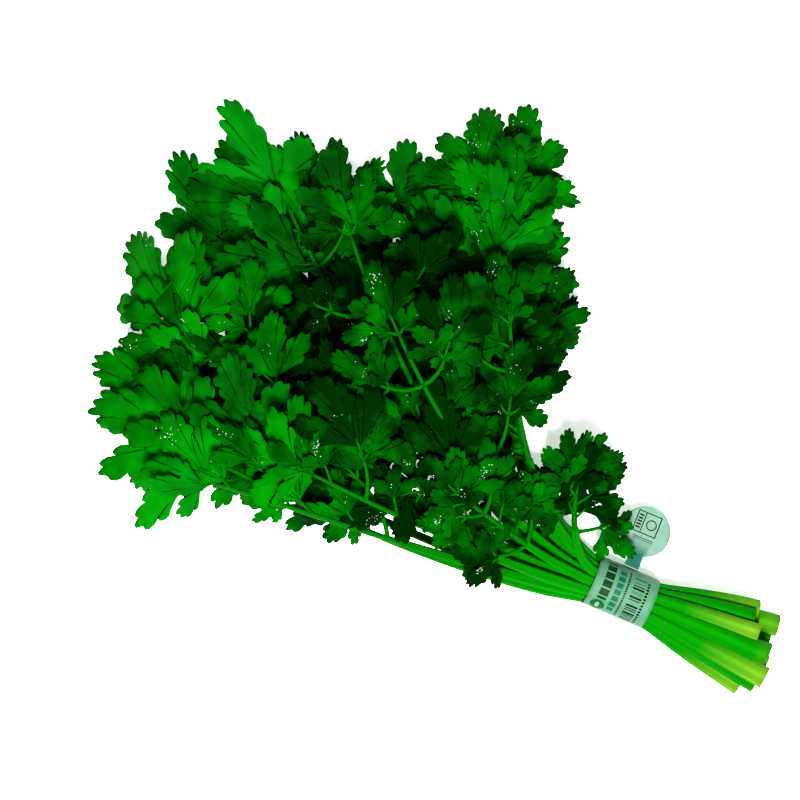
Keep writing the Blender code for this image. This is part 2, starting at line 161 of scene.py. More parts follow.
class Leaf:
    """Where one stem and its leaf run, from the cut end to the tip.

    In plan they follow one smooth curve, out of the strap and round to the tip.
    """

    def __init__(self, number, row, column, shape):
        tip_x, tip_y, heading_tip, self.spread_right, self.spread_left, self.lift = shape
        in_row = len(LEAF_ROWS[row])
        below = sum(len(LEAF_ROWS[r]) for r in range(row))
        self.number = number
        self.name = f"{number:02d}"
        self.random = random.Random(100 + number)
        self.tied_y = (column - (in_row - 1) / 2) * STEM_PITCH
        self.tied_z = TIE_HEIGHT + (row - (len(LEAF_ROWS) - 1) / 2) * ROW_RISE
        self.cut_z = CUT_LOWEST + row * CUT_ROW_RISE
        self.cut_length = CUT_LENGTH + self.random.uniform(-1, 1) * CUT_UNEVENNESS
        self.level_share = (below + LEVEL_ORDER[in_row][column] + 0.7) / LEAF_COUNT
        self.start = Vector((STRAP_HALF_WIDTH, self.tied_y))
        self.tip = Vector((tip_x, tip_y))
        pull = (self.tip - self.start).length * STEM_STIFFNESS
        self.pull_out = heading_vector(self.tied_y * TIE_FLARE) * pull
        self.pull_tip = heading_vector(radians(heading_tip)) * pull
        self.lengths = self.measure()
        self.reach = STRAP_HALF_WIDTH + self.lengths[-1]
        self.blade = min(BLADE_SHARE * self.reach, LONGEST_BLADE)
        self.blade_start = self.reach - self.blade

    def curve_place(self, t):
        """A place in plan on that curve: t is 0 at the strap and 1 at the tip."""
        a = 2 * t**3 - 3 * t**2 + 1
        b = t**3 - 2 * t**2 + t
        c = 3 * t**2 - 2 * t**3
        d = t**3 - t**2
        return self.start * a + self.pull_out * b + self.tip * c + self.pull_tip * d

    def measure(self, count=160):
        """How far along the curve each of its steps lies."""
        lengths = [0.0]
        for i in range(count):
            ahead = self.curve_place((i + 1) / count) - self.curve_place(i / count)
            lengths.append(lengths[-1] + ahead.length)
        return lengths

    def place(self, along):
        """The place in plan this far along from the middle of the strap."""
        past = along - STRAP_HALF_WIDTH
        if past <= 0:
            return Vector((along, self.tied_y))
        i = 0
        while i < len(self.lengths) - 2 and self.lengths[i + 1] < past:
            i += 1
        t = i + (past - self.lengths[i]) / (self.lengths[i + 1] - self.lengths[i])
        return self.curve_place(t / (len(self.lengths) - 1))

    def heading(self, along):
        ahead = self.place(along + 0.001) - self.place(along - 0.001)
        return atan2(ahead.y, ahead.x)

    def raised(self, place, extra=0.0):
        """Lifts a place in plan to the height of this leaf there."""
        tied = self.tied_z / (2 * TIE_HEIGHT)
        away = place.length
        settled = smooth((away - STRAP_HALF_WIDTH) / (LEVEL_REACHED_AT - STRAP_HALF_WIDTH))
        lift = self.lift * smooth((away - STRAP_HALF_WIDTH) / LIFT_REACHED_AT)
        extra *= NEAR_LEAF_STEP if self.lift else settled
        share = tied + (self.level_share - tied) * settled + lift + extra / LEAF_COUNT
        return Vector((place.x, place.y, share * crown_height(place)))

    def point(self, along):
        """Middle of the stem: negative along is towards the cut end."""
        if along >= 0:
            return self.raised(self.place(along))
        past = max(-along - STRAP_HALF_WIDTH, 0.0) / (CUT_LENGTH - STRAP_HALF_WIDTH)
        y = self.tied_y * (1 + (CUT_SPREAD - 1) * past)
        z = self.tied_z + (self.cut_z - self.tied_z) * min(past, 1.15)
        return Vector((along, y, z))

    def radius(self, along):
        """Thickest at the cut, pressed thin in the strap, and thinning to the blade."""
        if along < 0:
            past = max(-along - STRAP_HALF_WIDTH, 0.0) / (CUT_LENGTH - STRAP_HALF_WIDTH)
            return TIED_RADIUS + (CUT_RADIUS - TIED_RADIUS) * min(past, 1.1)
        thinned = smooth((along - STRAP_HALF_WIDTH) / (self.blade_start - STRAP_HALF_WIDTH))
        return TIED_RADIUS + (BLADE_STEM_RADIUS - TIED_RADIUS) * thinned

    def sprays(self):
        """The side sprays: where each stalk leaves, how it runs, and its size."""
        draw = self.random.uniform
        scale = 0.42 + 0.58 * self.blade / LONGEST_BLADE
        if self.lift:
            scale *= NEAR_LEAF_SIZE
        found = []
        for pair in range(len(PAIR_PLACES)):
            along = self.blade_start + self.blade * (PAIR_PLACES[pair] + draw(0.0, 0.06))
            for side, spread in ((-1, self.spread_right), (1, self.spread_left)):
                if spread == 0 or (pair > 0 and not 0.25 < spread <= 1):
                    continue
                fullness = 0.6 + 0.4 * min(spread, 1.0)
                bent = max(spread, 0.35 + 0.65 * spread)
                spray = {"along": along, "extra": LIFT_STEPS[pair]}
                # it leaves wide, and bends to point more along the leaf
                spray["leaves_at"] = side * radians(draw(54, 68)) * min(spread + 0.45, 1.6)
                spray["points_at"] = side * radians(draw(38, 58)) * bent
                spray["stalk"] = self.blade * PAIR_STALKS[pair] * fullness * draw(0.9, 1.2)
                spray["size"] = TIP_SPRAY * scale * PAIR_SIZES[pair] * fullness * draw(0.9, 1.1)
                found.append(spray)
        return found


leaves = []
for row, columns in enumerate(LEAF_ROWS):
    for column, shape in enumerate(columns):
        leaves.append(Leaf(len(leaves) + 1, row, column, shape))


def linear_colour(hex_code):
    """An sRGB hex colour as linear red, green, blue and a full alpha."""
    channels = [int(hex_code[i:i + 2], 16) / 255 for i in (1, 3, 5)]
    linear = [c / 12.92 if c <= 0.04045 else ((c + 0.055) / 1.055) ** 2.4 for c in channels]
    return (*linear, 1.0)


def start_material(name, sockets):
    """A new material, its node tree, and its shader with its own sockets set."""
    made = bpy.data.materials.new(name)
    made.use_nodes = True
    shader = made.node_tree.nodes["Principled BSDF"]
    for key, value in sockets.items():
        shader.inputs[key].default_value = value
    return made, made.node_tree, shader


def feed(tree, node, links):
    """Links a node's inputs to outputs, or to other nodes for their first output."""
    for key, source in links.items():
        if isinstance(source, bpy.types.Node):
            source = source.outputs[0]
        tree.links.new(source, node.inputs[key])


def add_node(tree, kind, settings, links):
    """Adds a shader node: settings are its properties, or inputs by name or number.

    A colour mix has its colours at 6 and 7 and gives output 2; a map range turns
    1 to 2 into 3 to 4, or into 0 to 1.
    """
    node = tree.nodes.new("ShaderNode" + kind)
    for key, value in settings.items():
        if isinstance(key, str) and hasattr(node, key):
            setattr(node, key, value)
        else:
            node.inputs[key].default_value = value
    feed(tree, node, links)
    return node


def petiole_material(name, cut_hex, base_hex, upper_hex, roughness):
    """Ribbed leaf stalk: waxy, moist skin, so a soft gloss over streaked green.

    The skin pales towards the cut, where it grew in the dark of the plant.
    """
    made, tree, shader = start_material(name, {
        "Roughness": roughness,
        "IOR": 1.42,  # plant wax
        "Specular IOR Level": 0.02,
        "Specular Tint": linear_colour("#80E060"),
        "Subsurface Weight": 0.12,
        "Subsurface Radius": (0.2, 0.8, 0.1),
        "Subsurface Scale": 0.002,
    })
    lengthways = add_node(tree, "UVMap", {"uv_map": "along"}, {})
    parts = add_node(tree, "SeparateXYZ", {}, {0: lengthways})
    # the pale foot: V runs in metres from the middle of the strap, and each
    # stalk's tone makes its foot up to 26 mm longer or shorter
    tone = add_node(tree, "Attribute", {"attribute_name": "tone"}, {})
    moved = add_node(tree, "Math", {"operation": "MULTIPLY_ADD", 1: 0.052},
                     {0: tone.outputs["Fac"], 2: parts.outputs[1]})
    ramp = add_node(tree, "MapRange", {1: -0.080, 2: -0.050}, {0: moved})
    pale = add_node(tree, "Mix", {"data_type": "RGBA", 6: linear_colour(cut_hex),
                                  7: linear_colour(base_hex)}, {0: ramp})
    # a darker green from 20 to 120 mm up the stalk
    higher = add_node(tree, "MapRange", {1: 0.02, 2: 0.12}, {0: parts.outputs[1]})
    skin = add_node(tree, "Mix", {"data_type": "RGBA", 7: linear_colour(upper_hex)},
                    {0: higher, 6: pale.outputs[2]})
    # strands run lengthways, about 0.5 mm apart
    stretched = add_node(tree, "Mapping", {3: (14.0, 9.0, 1.0)}, {0: lengthways})
    strands = add_node(tree, "TexNoise", {"Scale": 1.0, "Detail": 3.0}, {0: stretched})
    streak = add_node(tree, "MapRange", {1: 0.35, 2: 0.7, 3: 0.72, 4: 1.12}, {0: strands})
    streaked = add_node(tree, "Mix", {"data_type": "RGBA", "blend_type": "MULTIPLY", 0: 1.0},
                        {6: skin.outputs[2], 7: streak})
    bump = add_node(tree, "Bump", {"Strength": 0.25, "Distance": 0.0002}, {"Height": strands})
    feed(tree, shader, {"Base Color": streaked.outputs[2], "Normal": bump})
    return made


stalk_skin = petiole_material("parsley stalk skin, moist", "#4C7418", "#045E02", "#034C03", 0.50)


def cut_material(name, wet_hex, dry_hex, roughness):
    """A cut face: wet plant flesh, mottled as its strands end in it."""
    made, tree, shader = start_material(name, {"Roughness": roughness, "IOR": 1.36})
    position = add_node(tree, "TexCoord", {}, {})
    # strand ends, about 0.6 mm across
    strands = add_node(tree, "TexVoronoi", {"Scale": 1600.0},
                       {"Vector": position.outputs["Object"]})
    flesh = add_node(tree, "Mix", {"data_type": "RGBA", 6: linear_colour(wet_hex),
                                   7: linear_colour(dry_hex)},
                     {0: strands.outputs["Distance"]})
    feed(tree, shader, {"Base Color": flesh.outputs[2]})
    return made


stalk_flesh = cut_material("cut parsley stalk, wet flesh", "#2F660E", "#467A22", 0.40)
stalk_pith = cut_material("cut parsley stalk, pith", "#62883F", "#7C9C5C", 0.75)

RIB_COUNT = 9
RIB_DEPTH = 0.055  # of the radius
GROOVE_DEPTH = 0.16  # likewise: the one wide groove on the upper side
GROOVE_MIDDLE = 1.5 * pi  # radians round the stalk
GROOVE_HALF_TURN = 0.42
STALK_SIDES = 36
STALK_RINGS = 34
RIB_SIDES = 8
SKIN_WALL = 0.0003
FLESH_WALL = 0.0010
PITH_SUNK = 0.0006
STALK_SWELL = 0.22  # a stalk swells where it is free of the strap
WIDENED = 1.12  # a stalk is a little wider than it is high
SHEATHS = (0.0, 0.1, 0.3, 0.5)  # and some widen more, into a sheath, at the cut
OFF_TABLE = 1.06  # how high a stalk's middle lies at least, in radii


def lay_grid(bm, columns, rows, map_name, place, tone=None):
    """A smooth grid of faces, bent to shape.

    place says where the vertex in a column and a row goes, and its UV.  Gives
    the vertices, one list for each row.
    """
    uv = bm.loops.layers.uv.get(map_name) or bm.loops.layers.uv.new(map_name)
    shade = None
    if tone is not None:
        shade = bm.verts.layers.float.get("tone") or bm.verts.layers.float.new("tone")
    made = bmesh.ops.create_grid(bm, x_segments=columns, y_segments=rows, size=0.5)
    lines = [[None] * (columns + 1) for _ in range(rows + 1)]
    spot = {}
    for vert in made["verts"]:
        column = round((vert.co.x + 0.5) * columns)
        row = round((vert.co.y + 0.5) * rows)
        vert.co, spot[vert] = place(column, row)
        lines[row][column] = vert
        if shade:
            vert[shade] = tone
    for face in {face for vert in spot for face in vert.link_faces}:
        face.smooth = True
        for loop in face.loops:
            loop[uv].uv = spot[loop.vert]
    return lines


def lay_tube(bm, points, radii, lengths, tone, widths=None):
    """A tube along points: a grid rolled up round the line, seam merged.

    A stalk has widths, how wide it is for its height, and ribs.  Gives the
    loops of vertices, one list for each point.
    """
    sides = STALK_SIDES if widths else RIB_SIDES
    last = len(points) - 1
    frames = []
    for i in range(last + 1):
        ahead = (points[min(i + 1, last)] - points[max(i - 1, 0)]).normalized()
        across = ahead.cross(Vector((0, 0, 1))).normalized()
        frames.append((across, across.cross(ahead).normalized()))

    def place(side, i):
        turn = 2 * pi * side / sides
        across, up = frames[i]
        radius, wide = radii[i], 1.0
        if widths:
            wide = widths[i]
            off_groove = (turn - GROOVE_MIDDLE) / GROOVE_HALF_TURN
            radius *= 1 + RIB_DEPTH * cos(RIB_COUNT * turn)
            radius *= 1 - GROOVE_DEPTH * exp(-off_groove**2)
        out = across * cos(turn) * wide - up * sin(turn)
        return points[i] + out * radius, (side / sides, lengths[i])

    loops = lay_grid(bm, sides, last, "along", place, tone)
    bmesh.ops.weld_verts(bm, targetmap={line[-1]: line[0] for line in loops})
    return [line[:-1] for line in loops]


def close_end(bm, ring, inward=None):
    """Caps a tube's end.

    Given the way inward, the end is a cut one: a wet rim, the pale flesh inside
    it, and the softer pith sunk a little in the middle.
    """
    edges = [bm.edges.get((a, b)) for a, b in zip(ring, ring[1:] + ring[:1])]
    cap = bmesh.ops.edgeloop_fill(bm, edges=edges)["faces"]
    if not inward:
        return
    rim = bmesh.ops.inset_region(bm, faces=cap, thickness=SKIN_WALL, use_even_offset=True)
    flesh = bmesh.ops.inset_region(bm, faces=cap, thickness=FLESH_WALL, use_even_offset=True)
    bmesh.ops.translate(bm, verts=cap[0].verts, vec=inward * PITH_SUNK)
    for skin, faces in enumerate((rim["faces"], flesh["faces"], cap)):
        for face in faces:
            face.smooth = False
            face.material_index = skin


def finished_mesh(bm, name, materials):
    """Makes the bmesh an object at the origin, its faces outwards."""
    bmesh.ops.recalc_face_normals(bm, faces=bm.faces)
    mesh = bpy.data.meshes.new(name)
    bm.to_mesh(mesh)
    bm.free()
    piece = bpy.data.objects.new(name, mesh)
    for skin in materials:
        mesh.materials.append(skin)
    bpy.context.scene.collection.objects.link(piece)
    return piece


def stem_piece(leaf):
    """One leaf stalk from its cut end to the foot of its blade."""
    draw = random.Random(900 + leaf.number)
    near, far = -leaf.cut_length, leaf.blade_start + 0.004
    lengths = [near + (far - near) * i / (STALK_RINGS - 1) for i in range(STALK_RINGS)]
    points = [leaf.point(along) + TIE for along in lengths]
    grown = draw.uniform(0.92, 1.12)
    sheath = draw.choice(SHEATHS)
    radii = []
    widths = []
    for along, point in zip(lengths, points):
        # free of the strap 18 mm from it, and thin again inside the crown
        free = smooth((abs(along) - STRAP_HALF_WIDTH) / 0.018)
        free *= 1 - smooth((along - 0.08) / 0.07)
        radii.append(leaf.radius(along) * (1.03 + (STALK_SWELL * grown) * free))
        widths.append(WIDENED + sheath * smooth((-along - STRAP_HALF_WIDTH) / 0.035))
        point.z = max(point.z, radii[-1] * OFF_TABLE)
    bm = bmesh.new()
    rings = lay_tube(bm, points, radii, lengths, draw.uniform(-0.5, 0.5), widths)
    close_end(bm, rings[0], Vector((1, 0, 0)))
    close_end(bm, rings[-1])
    piece = finished_mesh(bm, f"stalk_{leaf.name}", [stalk_skin, stalk_flesh, stalk_pith])
    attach(piece, "root")
    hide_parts(f"stem_{leaf.name}")


for leaf in leaves:
    stem_piece(leaf)

# ----------------------------------------------------------------- leaves
# Each stalk divides into side stalks, and each of those grows three leaflets:
# a wedge-shaped foot, three toothed lobes, and a vein to every tooth.  The blade
# is a third of a millimetre thick, waxed above and paler and duller beneath.


def blade_material(name, dark_hex, bright_hex, vein_hex, roughness, gloss):
    """Leaf blade: waxed skin over a mottled green, paler along the veins.

    U is how far a point lies from the nearest vein and V its share of the way
    from the foot of the leaflet to the margin.
    """
    made, tree, shader = start_material(name, {
        "IOR": 1.45,  # leaf wax
        "Specular IOR Level": gloss,
        "Specular Tint": linear_colour("#58C850"),
    })
    vein_map = add_node(tree, "UVMap", {"uv_map": "vein"}, {})
    parts = add_node(tree, "SeparateXYZ", {}, {0: vein_map})
    # paler within a fifth of the way off a vein, and less so towards the margin
    near_vein = add_node(tree, "MapRange", {1: 0.02, 2: 0.22, 3: 1.0, 4: 0.0}, {0: parts})
    faded = add_node(tree, "MapRange", {1: 0.15, 2: 0.85, 3: 0.20, 4: 0.04}, {0: parts.outputs[1]})
    vein = add_node(tree, "Math", {"operation": "MULTIPLY"}, {0: near_vein, 1: faded})
    position = add_node(tree, "TexCoord", {}, {})
    # mottling about 12 mm across, and each leaflet has a tone of its own: a random part, and
    # painted light and shade by where it lies in the crown
    mottle = add_node(tree, "TexNoise", {"Scale": 85.0, "Detail": 4.0},
                      {0: position.outputs["Object"]})
    tone = add_node(tree, "Attribute", {"attribute_name": "tone"}, {})
    mixed = add_node(tree, "Math", {"operation": "MULTIPLY_ADD", 1: 0.9},
                     {0: mottle, 2: tone.outputs["Fac"]})
    share = add_node(tree, "MapRange", {1: 0.12, 2: 0.98}, {0: mixed})
    green = add_node(tree, "Mix", {"data_type": "RGBA", 6: linear_colour(dark_hex),
                                   7: linear_colour(bright_hex)}, {0: share})
    veined = add_node(tree, "Mix", {"data_type": "RGBA", 7: linear_colour(vein_hex)},
                      {0: vein, 6: green.outputs[2]})
    # skin cells drawn coarse, at about 0.6 mm, so that they show
    cells = add_node(tree, "TexNoise", {"Scale": 1600.0, "Detail": 2.0},
                     {0: position.outputs["Object"]})
    sheen = add_node(tree, "MapRange", {1: 0.3, 2: 0.7, 3: roughness - 0.06, 4: roughness + 0.10},
                     {0: mottle})
    bump = add_node(tree, "Bump", {"Strength": 0.20, "Distance": 0.0002}, {"Height": cells})
    feed(tree, shader, {"Base Color": veined.outputs[2], "Roughness": sheen, "Normal": bump})
    return made


upper_skin = blade_material("parsley leaf, upper side",
                            "#011A01", "#026603", "#037C07", 0.50, 0.008)
under_skin = blade_material("parsley leaf, underside",
                            "#022803", "#03600A", "#0A7A10", 0.62, 0.005)
midrib_skin = petiole_material("parsley leaf rib, moist",
                               "#035003", "#035003", "#034803", 0.42)

# Round one tooth, from notch to tip and back: where it is in the tooth, how far
# out as a share of the lobe's oval, and how far from the vein.
TOOTH_STEPS = ((-0.5, None, 1.0), (-0.34, 0.92, 0.7), (-0.15, 1.02, 0.3),
               (0.11, 1.04, 0.2), (0.33, 0.93, 0.7))
NOTCH = 0.86
DEEP_NOTCH = 0.66  # the two notches that part a lobe into three
LOBE_FOOT = 0.79
BLADE_ROWS = (0.0, 0.16, 0.34, 0.50, 0.64, 0.77, 0.89, 1.0)
BLADE_THICKNESS = 0.00034
LOWEST_BLADE = 0.0006  # above the table
HIGHEST_BLADE = cad_high[2] + 0.009
BUNDLED = 0.5  # how far the veins of one lobe run together before they part
SMALL_LEAFLET = 0.020  # and below that a leaflet has fewer teeth


def lobe_outline(lobe, reach, long_half, wide_half, axis, teeth, turns, draw):
    """One toothed lobe: points round an oval that narrows to its tip.

    Each point is its place, the place that its vein bends past, how far it is
    from its vein, and the lobe it belongs to.
    """
    points = []
    first, last = (radians(turn) for turn in turns)
    span = (last - first) / teeth
    parted = (teeth // 3, teeth - teeth // 3)
    steps = []
    for tooth in range(teeth):
        middle = first + span * (tooth + 0.5)
        grown = draw.uniform(0.94, 1.05)
        notch = (DEEP_NOTCH if tooth in parted else NOTCH) * draw.uniform(0.94, 1.08)
        if tooth == 0:
            notch = LOBE_FOOT
        # a tooth points forward, towards the tip of its lobe
        forward = -0.10 * copysign(min(abs(middle), 1.0), middle)
        for offset, scale, off_vein in TOOTH_STEPS:
            if scale is None:
                steps.append((middle + span * offset, notch, off_vein))
            else:
                steps.append((middle + span * (offset + forward), scale * grown, off_vein))
    steps.append((last, LOBE_FOOT, 1.0))
    ahead = heading_vector(axis)
    for turn, size, off_vein in steps:
        x = reach + long_half * size * cos(turn)
        y = wide_half * size * sin(turn) * (1 - 0.10 * max(cos(turn), 0.0))
        across = Vector((x * cos(axis) - y * sin(axis), x * sin(axis) + y * cos(axis)))
        bend = (across * 0.5).lerp(ahead * reach * 0.62, BUNDLED)
        points.append((across, bend, off_vein, lobe))
    return points


def leaflet_outline(draw, small):
    """A leaflet of length 1 from right to left: a side lobe, the middle one, a side lobe."""
    side_teeth, middle_teeth = (4, 6) if small else (5, 7)
    if not small and draw.random() < 0.4:
        middle_teeth = 9
    lean = radians(draw.uniform(41, 54))
    slim = draw.uniform(0.88, 1.10)
    outline = []
    middle = lobe_outline(0, 0.64, 0.36, 0.245 * slim, 0.0, middle_teeth, (-118, 118), draw)
    for side in (-1, 1):
        sinus = draw.uniform(0.33, 0.50)
        turns = (-128, 104) if side < 0 else (-104, 128)
        lobe = lobe_outline(side, draw.uniform(0.46, 0.54), draw.uniform(0.27, 0.33),
                            0.190 * slim, side * lean * draw.uniform(0.94, 1.08),
                            side_teeth, turns, draw)
        gap = heading_vector(side * lean * 0.46) * sinus
        inner = (gap, gap * 0.5, 1.0, side * 0.5)
        outline += lobe + [inner] + middle if side < 0 else [inner] + lobe
    return outline


class Blade:
    """How one leaflet lies: where its foot is, how it points, and how it bends."""

    def __init__(self, foot, heading, pitch, roll, length, draw):
        ahead = Vector((cos(heading) * cos(pitch), sin(heading) * cos(pitch), sin(pitch)))
        flat = Vector((-sin(heading), cos(heading), 0))
        side = Matrix.Rotation(roll, 3, ahead) @ flat
        self.frame = (ahead, side, ahead.cross(side))
        self.foot = foot
        self.length = length
        self.fold = draw.uniform(-0.12, 0.36)  # up on both sides of the midvein
        self.droop = draw.uniform(-0.25, 0.85)  # of the tip
        self.side_droop = draw.uniform(-0.15, 0.50)
        self.sway = draw.uniform(-0.22, 0.22)  # sideways in its own plane
        curl = draw.uniform(-0.28, 0.22)  # of each lobe's end, up or down
        self.curls = (curl + draw.uniform(-0.14, 0.12), curl, curl + draw.uniform(-0.14, 0.12))
        self.wave = draw.uniform(0.010, 0.034)  # puckers between the veins
        self.phase = draw.uniform(0, 6.28)

    def place(self, x, y, off_vein=0.5, lobe=0.0):
        """Where a point of the flat leaflet comes to lie."""
        away = hypot(x, y)
        right, middle, left = self.curls
        curl = middle + (left - middle) * max(lobe, 0.0) + (right - middle) * max(-lobe, 0.0)
        lift = self.fold * abs(y) - self.droop * x * x * 0.5 - self.side_droop * y * y
        lift += curl * away**3
        # puckers: broad ones round the foot, and half as high ones across the blade
        lift += self.wave * away * sin(4 * atan2(y, x) + 5 * away + self.phase)
        lift += self.wave * 0.5 * away * sin(13 * x + 8 * y + 2 * self.phase)
        # and each vein stands up a little
        lift += 0.0016 * away * (0.5 - off_vein)
        y += self.sway * x * x
        ahead, side, up = self.frame
        point = self.foot + (ahead * x + side * y + up * lift) * self.length
        point.z = min(max(point.z, LOWEST_BLADE), HIGHEST_BLADE)
        return point

    def proxy(self):
        """A coarse stand-in of the leaflet, to try whether it clears the others."""
        rim = ((0.42, -0.34), (0.66, -0.42), (0.98, -0.06),
               (0.98, 0.06), (0.66, 0.42), (0.42, 0.34))
        points = [self.place(0.0, 0.0)]
        points += [self.place(x * 0.5, y * 0.5) for x, y in rim]
        points += [self.place(x, y) for x, y in rim]
        faces = []
        for i in range(1, len(rim)):
            faces.append((0, i, i + 1))
            faces.append((i, i + 1, i + 1 + len(rim), i + len(rim)))
        return points, faces


def add_leaflet(bm, blade, draw, tone):
    """One leaflet: a grid from its foot out to its toothed margin, foot merged."""
    outline = leaflet_outline(draw, blade.length < SMALL_LEAFLET)

    def place(column, row):
        end, bend, off_vein, lobe = outline[column]
        share = BLADE_ROWS[row]
        x, y = bend * (2 * share * (1 - share)) + end * share**2
        return blade.place(x, y, off_vein, lobe * share), (off_vein, share)

    lines = lay_grid(bm, len(outline) - 1, len(BLADE_ROWS) - 1, "vein", place, tone)
    bmesh.ops.remove_doubles(bm, verts=lines[0], dist=0.00001)


# single leaflets between the sprays, as shares of the blade's length; the leaves
# that lie low in the bunch carry more of them, and larger
LONE_PLACES = (0.16, 0.30, 0.56)
LOW_PLACES = (0.08, 0.20, 0.33, 0.48, 0.60)
# the three of a spray: its side, and its stalk and length for the spray's size
LEAFLETS = ((0, 0.14, 0.72), (-1, 0.07, 0.60), (1, 0.07, 0.60))
SMALLEST_LEAFLET = 0.0185
TRIES = 14
NEIGHBOUR_WITHIN = 0.060
LOWEST_TRY = 0.002
HIGHEST_TRY = HIGHEST_BLADE - 0.0005
WRONG_HEIGHT = 6  # counts as so many crossings
STEEPEST = cos(radians(38))
TOO_STEEP = 3  # likewise
settled = []


def overlaps_settled(points, faces):
    """How often a leaflet crosses those already there."""
    tree = BVHTree.FromPolygons(points, faces)
    middle = sum(points, Vector()) / len(points)
    hits = 0
    for other_middle, other in settled:
        if (other_middle - middle).length < NEIGHBOUR_WITHIN:
            hits += len(tree.overlap(other))
    return hits, tree, middle


def settle_leaflet(foot, heading, length, level_pitch, draw):
    """Draws how a leaflet lies until it clears the ones already there.

    After TRIES it takes the way with the fewest crossings.
    """
    best = None
    for _ in range(TRIES):
        turn = heading + radians(draw.gauss(0, 13))
        pitch = level_pitch + radians(draw.gauss(4, 19))
        roll = radians(draw.gauss(0, 26))
        blade = Blade(foot, turn, pitch, roll, length, draw)
        points, faces = blade.proxy()
        hits, tree, middle = overlaps_settled(points, faces)
        if min(point.z for point in points) < LOWEST_TRY:
            hits += WRONG_HEIGHT
        if max(point.z for point in points) > HIGHEST_TRY:
            hits += WRONG_HEIGHT
        if blade.frame[2].z < STEEPEST:
            hits += TOO_STEEP
        if best is None or hits < best[0]:
            best = (hits, blade, tree, middle)
        if hits == 0:
            break
    _, blade, tree, middle = best
    settled.append((middle, tree))
    return blade


# the heart of the crown: its sprays have smaller leaflets, and painted shade darkens the leaflets
# there, the low ones most
CROWN_HEART = TIE + Vector((0.148, -0.061, 0.035))
HEART_RADIUS = 0.020
HEART_FADES_OVER = 0.050


def in_heart(place):
    """1 at the heart of the crown and 0 from 70 mm away."""
    return 1 - smooth(((place - CROWN_HEART).length - HEART_RADIUS) / HEART_FADES_OVER)


# painted shade: the leaves are darkest along a line from the heart towards the strap
DARK_FROM = TIE + Vector((0.132, -0.049, 0.035))
DARK_TO = TIE + Vector((0.0785, -0.0155, 0.030))


def from_dark_middle(place):
    """How far a place is from the line along which the leaves are darkest."""
    way = DARK_TO - DARK_FROM
    share = min(max((place - DARK_FROM).dot(way) / way.length_squared, 0.0), 1.0)
    return (place - DARK_FROM.lerp(DARK_TO, share)).length


def spray_leaflets(leaf, foot, heading, size, extra, draw, stalks):
    """Three leaflets from the end of one side stalk, each on its own short stalk."""
    blades = []
    start = leaf.raised(foot, extra) + TIE
    grown = 1 - 0.36 * in_heart(start)
    for side, stalk_share, size_share in LEAFLETS:
        room = min((1.0, leaf.spread_left, leaf.spread_right)[side], 1.0)
        turn = heading + side * radians(draw.uniform(44, 62)) * (0.35 + 0.65 * room)
        length = max(size * size_share, SMALLEST_LEAFLET) * draw.uniform(0.76, 1.14)
        length *= grown * (0.65 + 0.35 * room)
        stalk = size * stalk_share * draw.uniform(0.8, 1.3)
        end = leaf.raised(foot + heading_vector(turn) * stalk, extra) + TIE
        end.z += draw.uniform(-0.0015, 0.0025)
        # a leaflet follows most of the slope of the crown over its first 10 mm
        beyond = leaf.raised(foot + heading_vector(turn) * (stalk + 0.01), extra) + TIE
        level_pitch = atan2(beyond.z - end.z, 0.01) * 0.7
        blade = settle_leaflet(end, turn, length, level_pitch, draw)
        blades.append(blade)
        line = [start.copy(), start.lerp(end, 0.5), end, blade.place(0.12, 0)]
        stalks.append((line, SPRAY_STALK_RADII))
    return blades


def stalk_line(leaf, spray):
    """A side stalk, bending from the rachis towards where its spray points."""
    root = leaf.heading(spray["along"])
    steps = 6
    places = [leaf.place(spray["along"])]
    for step in range(steps):
        t = (step + 1) / steps
        heading = root + spray["leaves_at"] + (spray["points_at"] - spray["leaves_at"]) * t
        places.append(places[-1] + heading_vector(heading) * spray["stalk"] / steps)
    points = [leaf.raised(place, spray["extra"] * smooth(i / steps)) + TIE
              for i, place in enumerate(places)]
    return places[-1], points


# how much lighter or darker than the mottled green a leaflet is; the tones set by place are
# painted light and painted shade
BASE_TONE = -0.42
PAINTED_LIGHT_OUTSIDE = 0.41
PAINTED_LIGHT_HIGH = 0.18
NEAR_STRAP_TONE = 0.16


def painted_light_and_shade(place):
    """Painted light and shade: lighter away from the dark middle and high up, evened to one tone
    near the strap, darker low in the heart.
    """
    # painted light away from the dark middle, and on the high leaflets
    tone = smooth((from_dark_middle(place) - 0.034) / 0.050) * PAINTED_LIGHT_OUTSIDE
    tone += smooth((place.z - 0.03) / 0.04) * PAINTED_LIGHT_HIGH
    near_strap = 1 - smooth(((place - TIE).length - 0.06) / 0.06)
    tone += (NEAR_STRAP_TONE - tone) * near_strap
    # painted shade, low in the heart of the crown
    shaded = in_heart(place) * (0.06 + 0.14 * smooth((0.045 - place.z) / 0.03))
    return tone - shaded + BASE_TONE


LEAFLET_SEED = 1200
RACHIS_STEPS = 14
# ribs thin out on their way: the rachis, a side stalk, and those of its leaflets
RACHIS_RADII = (0.0014, 0.0008)
SIDE_STALK_RADII = (0.0011, 0.0007)
SPRAY_STALK_RADII = (0.00072, 0.00065, 0.0006, 0.0003)
LONE_STALK_RADII = (0.0007, 0.00055, 0.0003)
RIB_GREEN_AS_AT = 0.2  # all along a rib: how far up a stalk has that green
RIB_TONE = 0.2


def thinning(radii, count):
    """Radii at so many places, from the first to the last in even steps."""
    thick, thin = radii
    return [thick - (thick - thin) * i / (count - 1) for i in range(count)]


